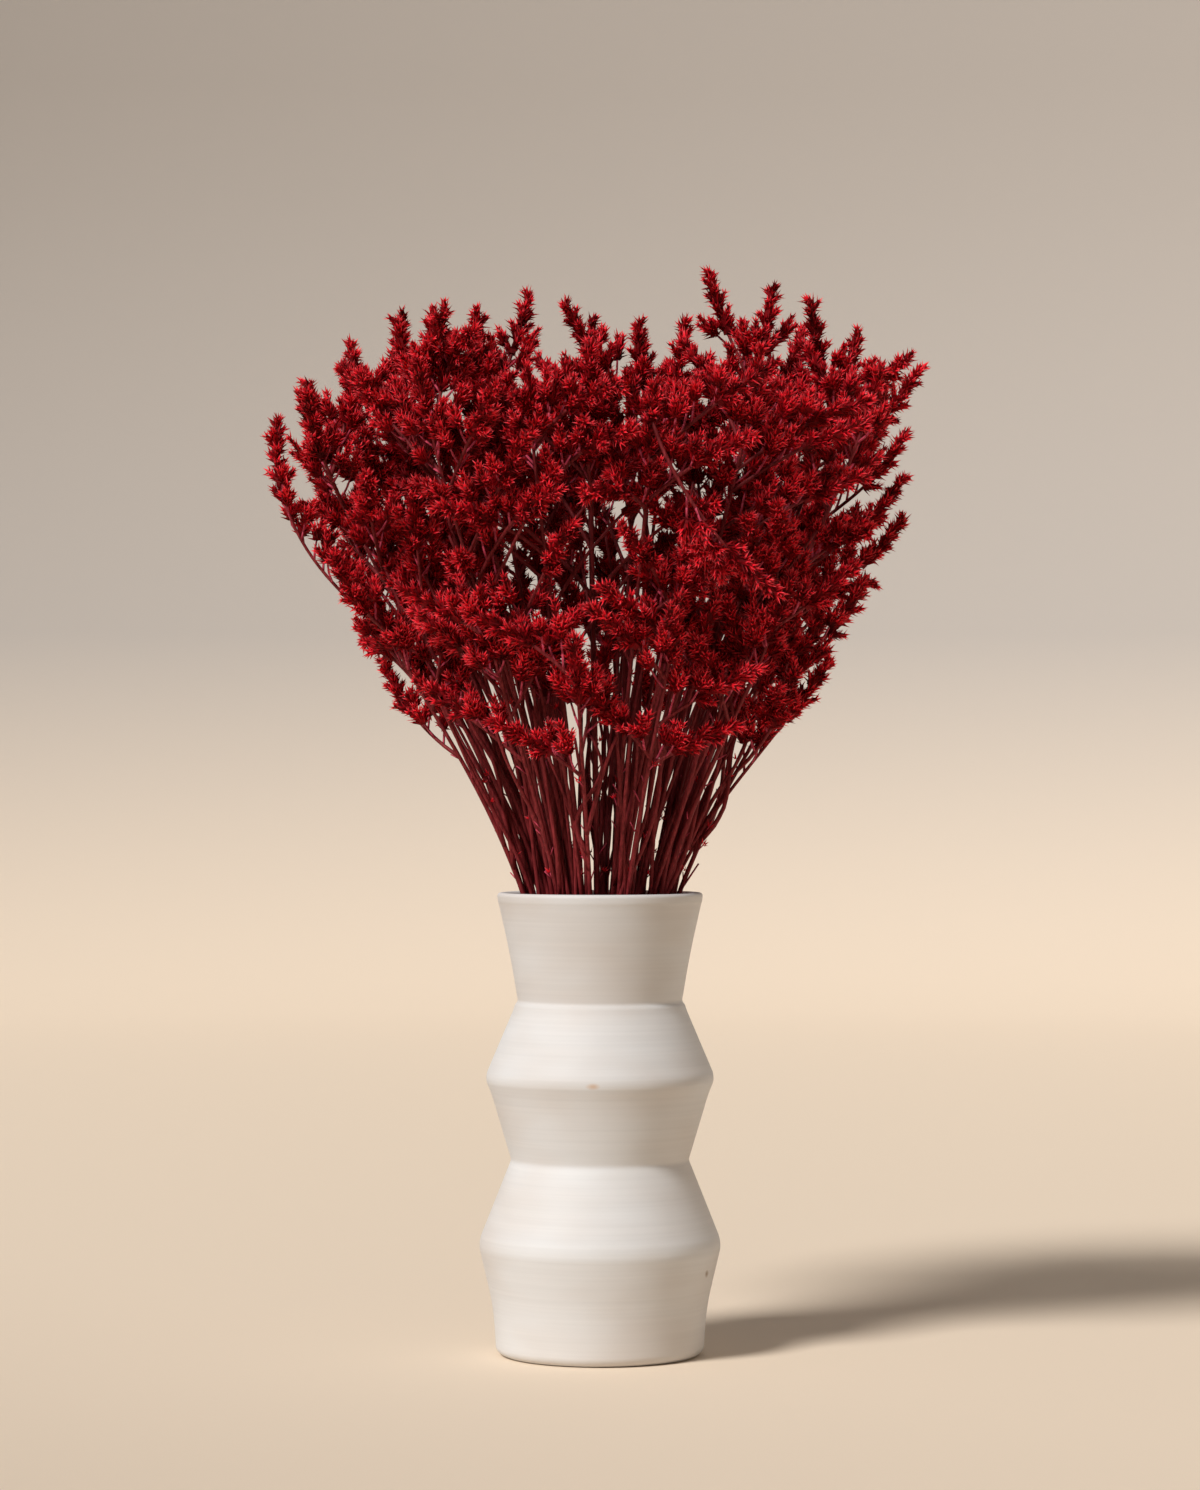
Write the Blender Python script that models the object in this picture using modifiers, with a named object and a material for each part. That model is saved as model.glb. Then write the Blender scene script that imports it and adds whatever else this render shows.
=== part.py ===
"""Dried statice standing in a turned ceramic vase.

Metres, +Z up, with the origin at the middle of the vase's foot and -Y towards the viewer.
The bunch is a fan of cut stems. Each stem has branches, and stem and branches end in spiky
flower plumes. Nothing of one stem touches another stem, so each is a solid of its own.
"""

import math
import random
from collections import namedtuple

import bmesh
import bpy
import numpy as np
from mathutils import Matrix, Vector
from mathutils.geometry import interpolate_bezier

MM = 0.001
UP = Vector((0, 0, 1))
SEED = 8

# Vase: height, and the radius and height of each turn of its outside, from rim to foot.
VASE_HEIGHT = 270 * MM
RIM = (60.5 * MM, VASE_HEIGHT)
TURNS = [
    (48.5 * MM, 206 * MM),  # upper waist
    (66.8 * MM, 161 * MM),  # upper belly
    (52.3 * MM, 113 * MM),  # lower waist
    (70.6 * MM, 64 * MM),  # lower belly
    (62.2 * MM, 20 * MM),  # top of the foot
    (61.2 * MM, 0.0),  # foot
]
TURN_ROUNDING = 3.5 * MM
WALL = 5 * MM
VASE_SIDES = 32
SCREW_MERGE = 0.1 * MM  # closes the pole of the foot and the seam

# Stems: where each tip stands, seen from the middle of the mouth. Azimuth is in degrees from +X
# towards +Y, lean in degrees from the vertical, reach in millimetres. Rise is +1 where the
# branches turn up and -1 where they droop.
Stem = namedtuple("Stem", "azimuth lean reach rise")
STEMS = [
    # the crown
    Stem(0, 4, 338, 0.6),
    Stem(176, 12, 352, 0.9),
    Stem(4, 16, 372, 0.9),
    Stem(95, 15, 345, 0.5),
    Stem(266, 15, 326, -0.2),
    # the tall ring
    Stem(160, 26, 368, 0.9),
    Stem(184, 31, 342, 1.0),
    Stem(203, 21, 356, 0.7),
    Stem(228, 27, 338, 0.3),
    Stem(250, 22, 322, -0.3),
    Stem(283, 25, 318, -0.7),
    Stem(311, 24, 340, 0.1),
    Stem(344, 29, 350, 0.2),
    Stem(8, 25, 368, 0.8),
    Stem(36, 28, 350, 0.6),
    Stem(72, 23, 350, 0.6),
    Stem(118, 25, 350, 0.6),
    # the low ring
    Stem(192, 37, 228, 0.9),
    Stem(236, 35, 212, 0.2),
    Stem(263, 38, 186, 0.1),
    Stem(291, 36, 210, 0.1),
    Stem(325, 36, 226, 0.5),
    Stem(352, 38, 212, 1.0),
    Stem(20, 34, 260, 0.9),
    Stem(85, 35, 222, 0.6),
    Stem(140, 37, 230, 0.7),
]
MOUTH_SPREAD = 47 * MM  # how far from the axis the outermost stem crosses the rim
WIDEST_LEAN = 38
MOUTH_POWER = 0.75  # below 1, it moves the steeper stems out, where there is more room
FOOT_SPREAD = 0.74  # a stem's place on the floor of the vase, as a share of that in the mouth
FOOT_TWIST = math.radians(-30)
FLOOR_GAP = 0.7 * MM  # from the vase's floor to the middle of a cut end
LEAN_AT_MOUTH = 0.55  # of the stem's own lean
LEAN_AT_TIP = 0.5
HANDLES_INSIDE = (0.35, 0.25)  # of the curve inside the vase, as shares of the vase's height
HANDLES_ABOVE = (0.4, 0.3)  # of the curve above it, as shares of the stem's reach
POINTS_INSIDE = 12
POINTS_ABOVE = 24
STEM_RADIUS = (2.1 * MM, 1.3 * MM)  # at the cut end and at the plume
STEM_POINTS = 10
STEM_SIDES = 5

# Branches and plumes.
GOLDEN_ANGLE = math.radians(137.5)
TALL = 280 * MM  # a stem that reaches less has the smaller head
BRANCHES = (4, 5)  # on a low and on a tall stem
BARE_LENGTH = (34 * MM, 72 * MM)  # of the lowest branch, below its plume
BARE_LEAST = 0.4  # of that length, on the highest branch
FIRST_BRANCH, LAST_BRANCH = 0.44, 0.84  # shares of the stem above the rim
PLACE_VARIES = 0.02  # of that share
ANGLE_VARIES = 0.6  # radians, for the first branch of a stem
SPREAD = math.radians(42)  # between a stem and its branch, where the branch leaves
DRAWN_IN = 0.7  # how much of its outward growth a branch that turns up gives up
KEPT_ALONG = 0.4  # how much it still follows its stem
BRANCH_RADIUS = 1.25 * MM
BRANCH_SIDES = 3
BARE_RINGS = 3
RING_STEP = 9.5 * MM
CORE_RADII = [4.2 * MM, 5.2 * MM, 5.0 * MM, 4.2 * MM, 2.6 * MM, 0.7 * MM]
SPIKES = [10.5 * MM, 11 * MM, 10.5 * MM, 9 * MM, 6 * MM]
SPIKE_LEAN = 6 * MM
PLUME_REACHES = [7 * MM, 13 * MM, 13.5 * MM, 13 * MM, 11 * MM, 7.5 * MM]  # with spikes, from the axis
CORE_TWIST = math.radians(60)
CLEARANCE = 0.6 * MM
BEAD_STEP = 3.5 * MM

# The fan that the branches fill: its half-width at the mouth, its slope and its widest half-width.
FAN_MOUTH = 78 * MM
FAN_SLOPE = 0.47
FAN_WIDEST = 190 * MM
FAN_FLATTENED = 1.15  # by this much the bunch is less deep than wide

# Where a branch finds no room, it is turned about its stem, or made shorter.
TURNED_BY = [math.radians(a) for a in (0, 25, -25, 50, -50, 80, -80, 110, -110, 140, -140, 170, -170)]
SHORTENED_TO = (1.0, 0.75, 0.5, 0.3)

# Finishes, as linear red, green and blue.
CERAMIC_COLOUR = (0.77, 0.74, 0.70)
CERAMIC_ROUGHNESS = 0.75
STATICE_COLOUR = (0.33, 0.010, 0.018)
STATICE_ROUGHNESS = 0.8


def polar(radius, azimuth, height):
    return Vector((radius * math.cos(azimuth), radius * math.sin(azimuth), height))


def leaning(azimuth, lean):
    """The unit vector that leans so far from the vertical towards an azimuth."""
    return polar(math.sin(lean), azimuth, math.cos(lean))


def stem_path(stem):
    """Points from the cut end on the vase's floor, through the mouth, to the tip of the crest."""
    azimuth, lean, reach = math.radians(stem.azimuth), math.radians(stem.lean), stem.reach * MM
    across = MOUTH_SPREAD * (stem.lean / WIDEST_LEAN) ** MOUTH_POWER
    foot = polar(across * FOOT_SPREAD, azimuth + FOOT_TWIST, WALL + FLOOR_GAP)
    mouth = polar(across, azimuth, VASE_HEIGHT)
    tip = UP * VASE_HEIGHT + leaning(azimuth, lean) * reach
    leaving = leaning(azimuth, LEAN_AT_MOUTH * lean)
    arriving = leaning(azimuth, LEAN_AT_TIP * lean)
    up, down = UP * HANDLES_INSIDE[0] * VASE_HEIGHT, leaving * HANDLES_INSIDE[1] * VASE_HEIGHT
    inside = interpolate_bezier(foot, foot + up, mouth - down, mouth, POINTS_INSIDE)
    out, back = leaving * HANDLES_ABOVE[0] * reach, arriving * HANDLES_ABOVE[1] * reach
    above = interpolate_bezier(mouth, mouth + out, tip - back, tip, POINTS_ABOVE)
    return inside[:-1] + above


def length_of(path):
    return sum((q - p).length for p, q in zip(path[:-1], path[1:]))


def resampled(path, distances):
    """The points of a path at these distances from its start, in rising order."""
    found, behind = [], 0.0
    legs = list(zip(path[:-1], path[1:]))
    for distance in distances:
        while len(legs) > 1 and behind + (legs[0][1] - legs[0][0]).length < distance:
            behind += (legs[0][1] - legs[0][0]).length
            legs.pop(0)
        start, end = legs[0]
        found.append(start.lerp(end, min(1.0, (distance - behind) / (end - start).length)))
    return found


# A shoot is one tube: its points, its radius at each, and how far it reaches from its axis
# there. The last points, as many as a core has radii, are a plume if it is one.
Shoot = namedtuple("Shoot", "points radii reaches")


def bare_shoot(points, thick, thin):
    radii = np.linspace(thick, thin, len(points)).tolist()
    return Shoot(points, radii, radii)


def plumed_shoot(points):
    """Bare wood, then a plume."""
    bare = [BRANCH_RADIUS] * (len(points) - len(CORE_RADII))
    return Shoot(points, bare + CORE_RADII, bare + PLUME_REACHES)


def wood_and_crest(stem):
    """The bare stem, and the plume that ends it."""
    path = stem_path(stem)
    plume_at = length_of(path) - RING_STEP * (len(CORE_RADII) - 1)
    wood = resampled(path, np.linspace(0, plume_at + RING_STEP / 2, STEM_POINTS))
    crest = resampled(path, [plume_at + RING_STEP * k for k in range(-1, len(CORE_RADII))])
    return bare_shoot(wood, *STEM_RADIUS), plumed_shoot(crest)


def branch(root, along, outward, bare, rise):
    """A branch that leaves its stem outwards, and turns up, or droops, as it grows."""
    heading = along * math.cos(SPREAD) + outward * math.sin(SPREAD)
    goal = (outward * (1 - DRAWN_IN * max(rise, 0)) + UP * rise + along * KEPT_ALONG).normalized()
    steps = [bare / BARE_RINGS] * BARE_RINGS + [RING_STEP] * (len(CORE_RADII) - 1)
    points = [root]
    for k, step in enumerate(steps):
        points.append(points[-1] + heading.slerp(goal, k / len(steps)) * step)
    return plumed_shoot(points)


def beads(shoot):
    """Balls strung closely along a shoot, that stand for it: rows of x, y, z and radius."""
    rows = []
    ends = [(*p, r) for p, r in zip(shoot.points, shoot.reaches)]
    for a, b in zip(np.array(ends[:-1]), np.array(ends[1:])):
        count = max(1, round(np.linalg.norm(b[:3] - a[:3]) / BEAD_STEP))
        rows.append(a + (b - a) * np.linspace(0, 1, count, endpoint=False)[:, None])
    return np.concatenate([*rows, [ends[-1]]])


def has_room(shoot, others):
    """Whether a shoot clears all these balls."""
    own = beads(shoot)
    apart = np.linalg.norm(own[:, None, :3] - others[None, :, :3], axis=2)
    return bool((apart > own[:, None, 3] + others[None, :, 3] + CLEARANCE).all())


def in_bunch(shoot):
    """Whether a shoot stays in the fan that the bunch fills above the vase."""
    for point, reach in zip(shoot.points, shoot.reaches):
        above_rim = point.z - VASE_HEIGHT
        across = math.hypot(point.x, point.y * FAN_FLATTENED)
        if above_rim < reach + CLEARANCE or across > min(FAN_WIDEST, FAN_MOUTH + FAN_SLOPE * above_rim):
            return False
    return True


def grown():
    """Every stem's shoots, wood first. Branches grow in turns, so that each stem gets its share."""
    draw = random.Random(SEED)
    sprays = [list(wood_and_crest(stem)) for stem in STEMS]
    filled = [[beads(shoot) for shoot in spray] for spray in sprays]
    first_angle = [draw.uniform(-ANGLE_VARIES, ANGLE_VARIES) for _ in STEMS]
    for level in range(max(BRANCHES)):
        for number, stem in enumerate(STEMS):
            tall = stem.reach * MM > TALL
            if level >= BRANCHES[tall]:
                continue
            share = level / (BRANCHES[tall] - 1)
            path = stem_path(stem)[POINTS_INSIDE - 1 :]
            up_stem = FIRST_BRANCH + (LAST_BRANCH - FIRST_BRANCH) * share
            up_stem += draw.uniform(-PLACE_VARIES, PLACE_VARIES)
            root, beyond = resampled(path, [length_of(path) * up_stem, length_of(path) * up_stem + MM])
            along = (beyond - root).normalized()
            away = polar(1, math.radians(stem.azimuth), 0)
            away = (away - along * away.dot(along)).normalized()
            bare = BARE_LENGTH[tall] * (1 + (BARE_LEAST - 1) * share)
            angle = first_angle[number] + GOLDEN_ANGLE * level
            others = np.concatenate([b for n, own in enumerate(filled) if n != number for b in own])
            for shortened in SHORTENED_TO:
                for turned in TURNED_BY:
                    outward = Matrix.Rotation(angle + turned, 3, along) @ away
                    shoot = branch(root, along, outward, bare * shortened, stem.rise)
                    if in_bunch(shoot) and has_room(shoot, others):
                        break
                else:
                    continue
                sprays[number].append(shoot)
                filled[number].append(beads(shoot))
                break
            else:
                print(f"no room for branch {level} of stem {number}")
    return sprays


def sweep(shoot, sides):
    """A tube along a shoot's points, extruded ring by ring, with spikes on what is a plume."""
    bm = bmesh.new()
    bmesh.ops.create_circle(bm, cap_ends=True, segments=sides, radius=1.0)
    cap = bm.faces[:][0]
    points, radii = shoot.points, shoot.radii
    headings = [(q - p).normalized() for p, q in zip(points[:-1], points[1:])]
    headings = [headings[0]] + [
        (a + b).normalized() for a, b in zip(headings[:-1], headings[1:])
    ] + [headings[-1]]
    bare = len(points) - len(CORE_RADII) if shoot.reaches != shoot.radii else len(points)
    turn = UP.rotation_difference(headings[0]).to_matrix().to_4x4()
    place = Matrix.Translation(points[0]) @ turn @ Matrix.Scale(radii[0], 4)
    bmesh.ops.transform(bm, matrix=place, verts=cap.verts)
    for k in range(1, len(points)):
        cap = bmesh.ops.extrude_discrete_faces(bm, faces=[cap])["faces"][0]
        turn = headings[k - 1].rotation_difference(headings[k]).to_matrix().to_4x4()
        if k > bare:
            turn = turn @ Matrix.Rotation(CORE_TWIST, 4, headings[k - 1])
        place = (
            Matrix.Translation(points[k]) @ turn
            @ Matrix.Scale(radii[k] / radii[k - 1], 4) @ Matrix.Translation(-points[k - 1])
        )
        bmesh.ops.transform(bm, matrix=place, verts=cap.verts)
        if k > bare:
            ring = [f for edge in cap.edges for f in edge.link_faces if f is not cap]
            spikes = bmesh.ops.poke(bm, faces=ring, offset=SPIKES[k - bare - 1])["verts"]
            bmesh.ops.translate(bm, verts=spikes, vec=headings[k] * SPIKE_LEAN)
    bmesh.ops.holes_fill(bm, edges=bm.edges, sides=sides)
    bmesh.ops.recalc_face_normals(bm, faces=bm.faces)
    return bm


def add_object(name, bm, collection, material):
    mesh = bpy.data.meshes.new(name)
    bm.to_mesh(mesh)
    bm.free()
    obj = bpy.data.objects.new(name, mesh)
    obj.data.materials.append(material)
    collection.objects.link(obj)
    return obj


def finish(name, colour, roughness):
    """A material of one colour, given as linear red, green and blue."""
    material = bpy.data.materials.new(name)
    material.use_nodes = True
    shader = material.node_tree.nodes["Principled BSDF"]
    shader.inputs["Base Color"].default_value = (*colour, 1)
    shader.inputs["Roughness"].default_value = roughness
    shader.inputs["Metallic"].default_value = 0
    return material


def apply_modifiers(obj):
    """Makes what the modifiers give the object's own mesh."""
    graph = bpy.context.evaluated_depsgraph_get()
    mesh = bpy.data.meshes.new_from_object(obj.evaluated_get(graph))
    obj.modifiers.clear()
    obj.data = mesh


def build_vase(collection, material):
    """The vase, turned from the line of its outside and given its wall."""
    bm = bmesh.new()
    corners = [RIM, *TURNS, (0, 0)]
    verts = [bm.verts.new((radius, 0, height)) for radius, height in corners]
    for a, b in zip(verts[:-1], verts[1:]):
        bm.edges.new((a, b))
    bmesh.ops.bevel(
        bm, geom=verts[1:-1], offset=TURN_ROUNDING, segments=1, profile=0.5, affect="VERTICES"
    )
    vase = add_object("vase", bm, collection, material)
    turned = vase.modifiers.new("turned", "SCREW")
    turned.steps = turned.render_steps = VASE_SIDES
    turned.use_normal_calculate = True
    turned.use_merge_vertices = True
    turned.merge_threshold = SCREW_MERGE
    wall = vase.modifiers.new("wall", "SOLIDIFY")
    wall.thickness = WALL
    wall.offset = -1
    wall.use_even_offset = True
    return vase


def build_spray(name, shoots, collection, material):
    """One stem with its crest and branches, joined into one body."""
    wood, *plumed = shoots
    spray = add_object(name, sweep(wood, STEM_SIDES), collection, material)
    joined = bpy.data.collections.new(name + "_branches")
    bpy.context.scene.collection.children.link(joined)
    for k, shoot in enumerate(plumed):
        add_object(f"{name}_branch_{k}", sweep(shoot, BRANCH_SIDES), joined, material)
    union = spray.modifiers.new("union", "BOOLEAN")
    union.operation = "UNION"
    union.operand_type = "COLLECTION"
    union.collection = joined
    union.solver = "MANIFOLD"
    apply_modifiers(spray)
    for obj in list(joined.objects):
        bpy.data.objects.remove(obj)
    bpy.data.collections.remove(joined)


def main():
    for obj in list(bpy.data.objects):
        bpy.data.objects.remove(obj)
    parts = bpy.data.collections.new("dried_statice")
    bpy.context.scene.collection.children.link(parts)
    ceramic = finish("bisque_ceramic", CERAMIC_COLOUR, CERAMIC_ROUGHNESS)
    statice = finish("dyed_statice", STATICE_COLOUR, STATICE_ROUGHNESS)
    build_vase(parts, ceramic)
    for number, shoots in enumerate(grown(), start=1):
        build_spray(f"spray_{number:02d}", shoots, parts, statice)


main()
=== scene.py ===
# %% [markdown]
# # Dried statice in a turned vase
# The real object is a bunch of cut, dried and dyed statice stems standing loose in a matt
# ceramic vase. Each stem forks into arching branches. A branch carries little side twigs on its
# upper side, like a comb, and every twig is wrapped in short pointed bracts, the papery leaves
# that hold the flowers. This notebook dresses the imported solids: the camera, floor and lights
# come first, then the vase, then the stems, and the bracts last.
#
# The imported model is opened first. Its solids are kept, and the box of its vase gives the vase's height.

import math
import random
from collections import namedtuple

import bmesh
import bpy
import numpy as np
from mathutils import Matrix, Vector
from mathutils.geometry import interpolate_bezier


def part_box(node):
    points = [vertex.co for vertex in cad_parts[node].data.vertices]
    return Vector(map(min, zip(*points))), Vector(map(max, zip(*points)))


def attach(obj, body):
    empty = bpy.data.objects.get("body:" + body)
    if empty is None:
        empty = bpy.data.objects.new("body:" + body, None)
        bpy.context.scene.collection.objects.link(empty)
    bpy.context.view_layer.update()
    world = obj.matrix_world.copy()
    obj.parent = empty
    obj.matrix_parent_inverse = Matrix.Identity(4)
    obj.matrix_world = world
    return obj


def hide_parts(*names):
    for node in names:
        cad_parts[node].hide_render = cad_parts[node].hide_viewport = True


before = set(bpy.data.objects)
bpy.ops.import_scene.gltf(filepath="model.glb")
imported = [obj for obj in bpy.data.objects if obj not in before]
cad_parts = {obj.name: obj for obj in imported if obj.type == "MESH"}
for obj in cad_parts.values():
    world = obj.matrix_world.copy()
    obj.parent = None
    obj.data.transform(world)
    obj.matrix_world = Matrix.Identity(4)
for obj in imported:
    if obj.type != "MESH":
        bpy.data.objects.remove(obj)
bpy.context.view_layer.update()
MM = 0.001
UP = Vector((0, 0, 1))

# %% [markdown]
# ## Camera
# A long lens from over two metres away keeps the vase's sides nearly parallel. The eye is a
# little above the vase's rim, so the rim shows as a thin ellipse and the foot as a rounder one.
# The picture is 1200 pixels wide and 1490 high, and the long side takes the sensor's 36 mm.

# %% Camera
camera = bpy.data.objects.new("camera", bpy.data.cameras.new("camera"))
bpy.context.scene.collection.objects.link(camera)
camera.data.sensor_width = 36
camera.data.lens = 95.4
camera.location = (0, -2.326, 0.330)
AIM = Vector((0, 0, 0.3577))
camera.rotation_euler = (AIM - camera.location).to_track_quat("-Z", "Y").to_euler()
bpy.context.scene.camera = camera
bpy.context.scene.view_settings.view_transform = "Standard"
print("lens", camera.data.lens, "mm, at", tuple(camera.location))

# %% [markdown]
# ## Colours and nodes
# Colours are picked as the screen shows them, in sRGB hex, but a shader counts light, so one
# function makes them linear. A second one adds a node, with its settings and links, and every
# material below is made with it.

# %% Colour and node helpers
def linear(colour):
    """The linear red, green, blue and alpha of an sRGB hex colour."""
    parts = [int(colour[k : k + 2], 16) / 255 for k in (1, 3, 5)]
    return (*[c / 12.92 if c <= 0.04045 else ((c + 0.055) / 1.055) ** 2.4 for c in parts], 1.0)


def add_node(tree, kind, settings=None, **inputs):
    """A new node. Settings are its own, inputs are values or the sockets to link."""
    node = tree.nodes.new(kind)
    for name, value in (settings or {}).items():
        setattr(node, name, value)
    for name, value in inputs.items():
        socket = node.inputs[int(name[1:]) if name[1:].isdigit() else name.replace("_", " ")]
        if isinstance(value, bpy.types.NodeSocket):
            tree.links.new(value, socket)
        else:
            socket.default_value = value
    return node


def new_material(name, roughness):
    """An empty material with one shader, and its node tree."""
    material = bpy.data.materials.new(name)
    material.use_nodes = True
    tree = material.node_tree
    shader = tree.nodes["Principled BSDF"]
    shader.inputs["Roughness"].default_value = roughness
    return material, tree, shader


def ramp(tree, factor, stops):
    """A colour ramp whose stops are pairs of a place from 0 to 1 and a hex colour."""
    node = add_node(tree, "ShaderNodeValToRGB", Fac=factor)
    band = node.color_ramp.elements
    while len(band) < len(stops):
        band.new(0.5)
    for element, (place, colour) in zip(band, stops):
        element.position = place
        element.color = linear(colour)
    return node.outputs["Color"]


print("crimson is", linear("#A80F18"))

# %% [markdown]
# ## Floor
# A studio floor that curves up into a wall leaves no line behind the object. The camera may
# walk all round it, so the wall here goes all round too: one profile, spun into a wide dish.

# %% Floor
FLOOR_REACH = 3.2
COVE_RADIUS = 1.6
WALL_TOP = 3.4


def add_object(name, bm, *materials):
    """Makes an object of a bmesh, standing at the origin."""
    mesh = bpy.data.meshes.new(name)
    bm.to_mesh(mesh)
    bm.free()
    for material in materials:
        mesh.materials.append(material)
    obj = bpy.data.objects.new(name, mesh)
    bpy.context.scene.collection.objects.link(obj)
    return obj


def spun(line, steps):
    """A bmesh turned round the Z axis from a line of (radius, height) points."""
    bm = bmesh.new()
    corners = [bm.verts.new((radius, 0, height)) for radius, height in line]
    edges = [bm.edges.new(pair) for pair in zip(corners[:-1], corners[1:])]
    bmesh.ops.spin(
        bm, geom=corners + edges, axis=UP, cent=(0, 0, 0), steps=steps, angle=math.tau,
        use_merge=True,
    )
    bmesh.ops.remove_doubles(bm, verts=bm.verts, dist=0.01 * MM)
    bmesh.ops.recalc_face_normals(bm, faces=bm.faces)
    return bm


floor_line = [(0, -0.2 * MM), (FLOOR_REACH, -0.2 * MM)]
for k in range(1, 13):
    angle = math.radians(90) * k / 12
    floor_line.append(
        (FLOOR_REACH + COVE_RADIUS * math.sin(angle), COVE_RADIUS * (1 - math.cos(angle)))
    )
floor_line.append((FLOOR_REACH + COVE_RADIUS, WALL_TOP))
plaster, tree, shader = new_material("pale_plaster_floor", 0.9)
place = add_node(tree, "ShaderNodeTexCoord").outputs["Object"]
height = add_node(tree, "ShaderNodeSeparateXYZ", Vector=place).outputs["Z"]
plaster_colour = ramp(tree, height, [(0.0, "#E8D6C0"), (0.6, "#B4ACA4")])
tree.links.new(plaster_colour, shader.inputs["Base Color"])
floor = add_object("floor", spun(floor_line, 96), plaster)
floor.data.shade_smooth()
print("floor spun from", len(floor_line), "points")

# %% [markdown]
# ## Light
# The light comes from the left, from above and in front. A sun whose disc is made wide gives
# soft edges to the shadows and lights the background as well. The pale sky above the dish
# fills the shade.

# %% Light
SUN_PLACE = Vector((-1.4, -1.45, 1.9))
sun_light = bpy.data.lights.new("key_sun", "SUN")
sun_light.energy = 3.25
sun_light.angle = math.radians(16)
sun_light.color = linear("#FFFDFB")[:3]
sun = bpy.data.objects.new("key_sun", sun_light)
sun.location = SUN_PLACE
sun.rotation_euler = (-SUN_PLACE).to_track_quat("-Z", "Y").to_euler()
bpy.context.scene.collection.objects.link(sun)
world = bpy.data.worlds.new("studio")
world.use_nodes = True
world.node_tree.nodes["Background"].inputs["Color"].default_value = linear("#F3F3F4")
world.node_tree.nodes["Background"].inputs["Strength"].default_value = 0.25
bpy.context.scene.world = world
print("sun", sun_light.energy, "and sky", 0.25)

# %% [markdown]
# ## The vase
# The vase was thrown on a wheel: its outside is a line of cones that meet in two rounded
# bellies and two sharper waists. A turned thing is best made as a potter does, from the line
# of its wall. Each corner of the line is rounded by its own amount, the inside runs one wall's
# thickness within, and the line is spun round the axis.

# %% The line of the vase's wall
VASE_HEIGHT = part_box("vase")[1].z
WALL = 5 * MM
VASE_STEPS = 104
LONGEST_LEG = 20 * MM
SHORT_LEG = 1 * MM
Turn = namedtuple("Turn", "radius height rounding")
OUTSIDE = [
    Turn(60.7 * MM, VASE_HEIGHT, 2.2 * MM),  # lip
    Turn(60.1 * MM, 265.6 * MM, 1.2 * MM),  # under the lip
    Turn(59.6 * MM, 264.2 * MM, 1.2 * MM),
    Turn(53.0 * MM, 235 * MM, 16 * MM),  # hollow of the neck
    Turn(48.3 * MM, 207 * MM, 0.7 * MM),  # upper waist
    Turn(50.0 * MM, 205.2 * MM, 0.7 * MM),  # the raised ring below it
    Turn(51.0 * MM, 201.8 * MM, 1.2 * MM),
    Turn(66.8 * MM, 164.5 * MM, 4 * MM),  # upper belly, round above
    Turn(66.9 * MM, 160.2 * MM, 1.0 * MM),  # and sharp at its lower edge
    Turn(63.9 * MM, 153 * MM, 7 * MM),
    Turn(52.2 * MM, 114 * MM, 0.8 * MM),  # lower waist
    Turn(70.5 * MM, 68 * MM, 6 * MM),  # lower belly
    Turn(70.9 * MM, 62.5 * MM, 1.0 * MM),
    Turn(63.0 * MM, 29 * MM, 16 * MM),
    Turn(61.6 * MM, 12 * MM, 10 * MM),
    Turn(61.0 * MM, 0.0, 3.2 * MM),  # foot
]
INSIDE = [
    Turn(0.0, WALL, 0.0),
    Turn(56.0 * MM, WALL, 8 * MM),
    Turn(66.0 * MM, 66 * MM, 12 * MM),
    Turn(47.3 * MM, 113 * MM, 8 * MM),
    Turn(61.8 * MM, 162 * MM, 10 * MM),
    Turn(43.5 * MM, 206 * MM, 6 * MM),
    Turn(55.6 * MM, VASE_HEIGHT, 2.2 * MM),
]


def rounded(turns):
    """The line through these corners, with an arc for each corner between the first and last."""
    places = [Vector((t.radius, t.height, 0)) for t in turns]
    line = [places[0]]
    for before, corner, after, turn in zip(places, places[1:], places[2:], turns[1:]):
        cut = min(turn.rounding * 1.6, 0.45 * min((before - corner).length, (after - corner).length))
        start = corner + (before - corner).normalized() * cut
        end = corner + (after - corner).normalized() * cut
        handles = start.lerp(corner, 0.55), end.lerp(corner, 0.55)
        line += interpolate_bezier(start, *handles, end, 4 if turn.rounding < 2 * MM else 7)
    line.append(places[-1])
    return line


def supported(line):
    """The same line with points added on long legs, close to their ends too.

    Smooth shading bends the light over a whole face, so an edge only looks sharp if a narrow
    face lies on each side of it.
    """
    full = [line[0]]
    for start, end in zip(line[:-1], line[1:]):
        length = (end - start).length
        if length > 4 * SHORT_LEG:
            inner = length - 2 * SHORT_LEG
            count = math.ceil(inner / LONGEST_LEG)
            full += [start.lerp(end, (SHORT_LEG + inner * k / count) / length) for k in range(count + 1)]
        full.append(end)
    return [(p.x, p.y) for p in full]


wall_line = supported(rounded([*INSIDE, *OUTSIDE, Turn(0.0, 0.0, 0.0)]))
print(len(wall_line), "points in the wall's line")

# %% [markdown]
# The clay is fired once and left unglazed, so it is matt, with faint warm patches. The fingers
# and the sponge leave fine level lines all round. They come from a noise that changes fast up
# the vase and slowly round it, as relief and as a touch of colour. The real lines are under a
# millimetre apart, too fine to show, so they are drawn a little wider. A pin's-head spot of
# iron has burnt out tan on the upper belly's edge.

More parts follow.
